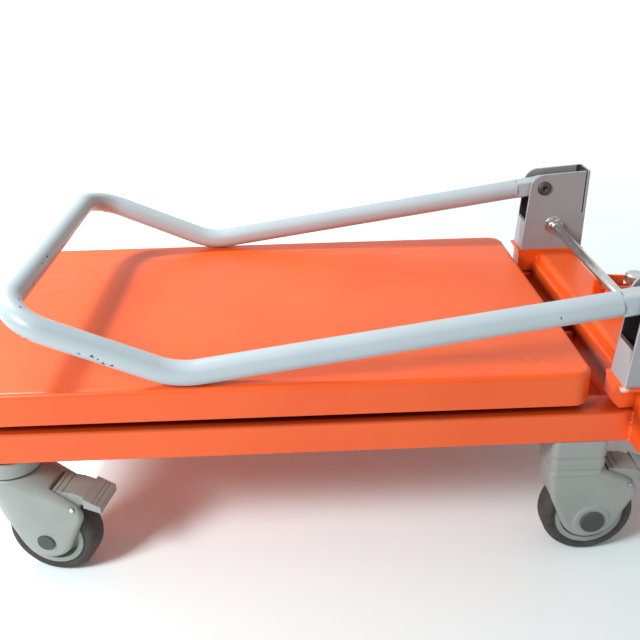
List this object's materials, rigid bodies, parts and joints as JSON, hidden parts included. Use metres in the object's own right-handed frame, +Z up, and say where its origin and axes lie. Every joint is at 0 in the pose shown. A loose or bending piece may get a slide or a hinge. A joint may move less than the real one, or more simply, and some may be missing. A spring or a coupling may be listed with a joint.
{
  "type": "scissor lift table trolley",
  "caption": "Low hydraulic scissor lift-table trolley: orange sheet platform over a railed base, folding tube push handle, foot pump, swivelling and fixed braked casters.",
  "frame": {"origin": "on the floor, under the middle of the overall box", "axes": "+X points to the handle and pedal end, +Z up, +Y to the right of a person who pushes the trolley from the handle end"},
  "size_m": [0.864, 0.445, 0.3356],
  "materials": {
    "orange_enamel": "semi-gloss powder coat",
    "bracket_enamel": "satin powder coat",
    "handle_enamel": "semi-gloss powder coat",
    "zinc_steel": "zinc plated",
    "chromed_ram": "ground and chromed",
    "black_bolt": "blackened, satin",
    "pump_enamel": "satin black paint",
    "tread_rubber": "matte",
    "caster_nylon": "moulded, fine grain",
    "roller_nylon": "moulded",
    "tyre_rubber": "matte"
  },
  "bodies": {
    "base": {"side_rail_left": "orange_enamel", "side_rail_right": "orange_enamel", "front_cross_channel": "orange_enamel", "end_plate": "orange_enamel", "handle_beam": "orange_enamel", "post_feet": "orange_enamel", "handle_bracket_left": "bracket_enamel", "handle_bracket_right": "bracket_enamel", "tie_rod": "zinc_steel", "tie_rod_nuts": "zinc_steel", "handle_pivot_bolts": "black_bolt", "base_pins": "zinc_steel", "cylinder_clevis": "orange_enamel", "pump_tank": "pump_enamel", "pump_block": "pump_enamel", "tank_plug": "zinc_steel", "caster_plates": "caster_nylon", "fixed_housing_left": "caster_nylon", "fixed_housing_right": "caster_nylon", "fixed_axles": "black_bolt", "plunger_spring": "zinc_steel"},
    "arms_outer": {"outer_arms": "orange_enamel", "outer_cross_tube": "orange_enamel", "outer_arm_pins": "zinc_steel"},
    "arms_inner": {"inner_arms": "orange_enamel", "inner_cross_tubes": "orange_enamel", "base_roller_axles": "zinc_steel"},
    "platform": {"platform_deck": "orange_enamel", "platform_tracks": "orange_enamel", "platform_lugs": "orange_enamel", "platform_pins": "zinc_steel"},
    "roller_base_left": {"base_roller_left": "roller_nylon"},
    "roller_base_right": {"base_roller_right": "roller_nylon"},
    "roller_platform_left": {"platform_roller_left": "roller_nylon"},
    "roller_platform_right": {"platform_roller_right": "roller_nylon"},
    "handle": {"handle_tube": "handle_enamel", "handle_end_blocks": "handle_enamel"},
    "cylinder": {"cylinder_barrel": "pump_enamel"},
    "ram": {"ram_rod": "chromed_ram", "ram_saddle": "pump_enamel"},
    "plunger": {"pump_plunger": "zinc_steel"},
    "pedal": {"pedal_lever": "orange_enamel", "pedal_pad": "tread_rubber"},
    "release": {"release_pedal": "zinc_steel"},
    "swivel_left": {"swivel_housing_left": "caster_nylon", "swivel_axle_left": "black_bolt"},
    "swivel_right": {"swivel_housing_right": "caster_nylon", "swivel_axle_right": "black_bolt"},
    "wheel_front_left": {"tyre_front_left": "tyre_rubber", "hub_front_left": "roller_nylon"},
    "brake_front_left": {"brake_front_left": "caster_nylon"},
    "wheel_front_right": {"tyre_front_right": "tyre_rubber", "hub_front_right": "roller_nylon"},
    "brake_front_right": {"brake_front_right": "caster_nylon"},
    "wheel_rear_left": {"tyre_rear_left": "tyre_rubber", "hub_rear_left": "roller_nylon"},
    "brake_rear_left": {"brake_rear_left": "caster_nylon"},
    "wheel_rear_right": {"tyre_rear_right": "tyre_rubber", "hub_rear_right": "roller_nylon"},
    "brake_rear_right": {"brake_rear_right": "caster_nylon"}
  },
  "joints": [
    {"name": "lift", "type": "hinge", "parent": "base", "child": "arms_outer", "pos_m": [-0.368, 0, 0.1725], "axis": [0, -1, 0], "range_deg": [0, 22]},
    {"name": "scissor_centre", "type": "hinge", "parent": "arms_outer", "child": "arms_inner", "pos_m": [-0.0905, 0, 0.19425], "axis": [0, -1, 0], "range_deg": [-44.5, 0.5]},
    {"name": "platform_level", "type": "hinge", "parent": "arms_inner", "child": "platform", "pos_m": [-0.368, 0, 0.216], "axis": [0, -1, 0], "range_deg": [-0.5, 22.5]},
    {"name": "handle_fold", "type": "hinge", "parent": "base", "child": "handle", "pos_m": [0.268, 0, 0.31262], "axis": [0, 1, 0], "range_deg": [-0.5, 112.5]},
    {"name": "cylinder_tilt", "type": "hinge", "parent": "base", "child": "cylinder", "pos_m": [0.238, 0, 0.176], "axis": [0, 1, 0], "range_deg": [-0.5, 15.5]},
    {"name": "ram_stroke", "type": "slide", "parent": "cylinder", "child": "ram", "axis": [-0.9972, 0, 0.0749], "range_m": [-0.0005, 0.0432]},
    {"name": "base_roller_left_spin", "type": "hinge", "parent": "arms_inner", "child": "roller_base_left", "pos_m": [0.187, -0.177, 0.1725], "axis": [0, 1, 0], "continuous": true},
    {"name": "platform_roller_left_spin", "type": "hinge", "parent": "arms_outer", "child": "roller_platform_left", "pos_m": [0.187, -0.177, 0.216], "axis": [0, 1, 0], "continuous": true},
    {"name": "base_roller_right_spin", "type": "hinge", "parent": "arms_inner", "child": "roller_base_right", "pos_m": [0.187, 0.177, 0.1725], "axis": [0, 1, 0], "continuous": true},
    {"name": "platform_roller_right_spin", "type": "hinge", "parent": "arms_outer", "child": "roller_platform_right", "pos_m": [0.187, 0.177, 0.216], "axis": [0, 1, 0], "continuous": true},
    {"name": "swivel_left_turn", "type": "hinge", "parent": "base", "child": "swivel_left", "pos_m": [-0.384, -0.166, 0.132], "axis": [0, 0, 1], "continuous": true},
    {"name": "wheel_front_left_spin", "type": "hinge", "parent": "swivel_left", "child": "wheel_front_left", "pos_m": [-0.34879, -0.17349, 0.05], "axis": [0.2079, 0.9781, 0], "continuous": true},
    {"name": "brake_front_left_press", "type": "hinge", "parent": "swivel_left", "child": "brake_front_left", "pos_m": [-0.31357, -0.18097, 0.096], "axis": [0.2079, 0.9781, 0], "range_deg": [0, 8]},
    {"name": "wheel_rear_left_spin", "type": "hinge", "parent": "base", "child": "wheel_rear_left", "pos_m": [0.237, -0.175, 0.05], "axis": [0, 1, 0], "continuous": true},
    {"name": "brake_rear_left_press", "type": "hinge", "parent": "base", "child": "brake_rear_left", "pos_m": [0.273, -0.175, 0.096], "axis": [0, 1, 0], "range_deg": [0, 8]},
    {"name": "swivel_right_turn", "type": "hinge", "parent": "base", "child": "swivel_right", "pos_m": [-0.384, 0.166, 0.132], "axis": [0, 0, 1], "continuous": true},
    {"name": "wheel_front_right_spin", "type": "hinge", "parent": "swivel_right", "child": "wheel_front_right", "pos_m": [-0.34879, 0.17349, 0.05], "axis": [-0.2079, 0.9781, 0], "continuous": true},
    {"name": "brake_front_right_press", "type": "hinge", "parent": "swivel_right", "child": "brake_front_right", "pos_m": [-0.31357, 0.18097, 0.096], "axis": [-0.2079, 0.9781, 0], "range_deg": [0, 8]},
    {"name": "wheel_rear_right_spin", "type": "hinge", "parent": "base", "child": "wheel_rear_right", "pos_m": [0.237, 0.175, 0.05], "axis": [0, 1, 0], "continuous": true},
    {"name": "brake_rear_right_press", "type": "hinge", "parent": "base", "child": "brake_rear_right", "pos_m": [0.273, 0.175, 0.096], "axis": [0, 1, 0], "range_deg": [0, 8]},
    {"name": "pedal_press", "type": "hinge", "parent": "base", "child": "pedal", "pos_m": [0.302, 0, 0.238], "axis": [0, 1, 0], "range_deg": [0, 18], "stiffness_Nm_per_rad": 6, "springref_deg": -17.19},
    {"name": "plunger_stroke", "type": "slide", "parent": "base", "child": "plunger", "axis": [0, 0, -1], "range_m": [-0.0002, 0.0105], "deforming": ["plunger_spring"]},
    {"name": "release_press", "type": "hinge", "parent": "base", "child": "release", "pos_m": [0.328, 0, 0.164], "axis": [0, 1, 0], "range_deg": [0, 15], "stiffness_Nm_per_rad": 1, "springref_deg": -17.19}
  ],
  "couplings": [
    {"joint": "scissor_centre", "follows": "lift", "ratio": -2},
    {"joint": "platform_level", "follows": "lift", "ratio": 1},
    {"joint": "handle_fold", "follows": "lift", "ratio": 5.09},
    {"joint": "cylinder_tilt", "follows": "lift", "ratio": 0.678},
    {"joint": "ram_stroke", "follows": "lift", "m_per_rad": 0.1111},
    {"joint": "plunger_stroke", "follows": "pedal_press", "m_per_rad": 0.0324}
  ]
}
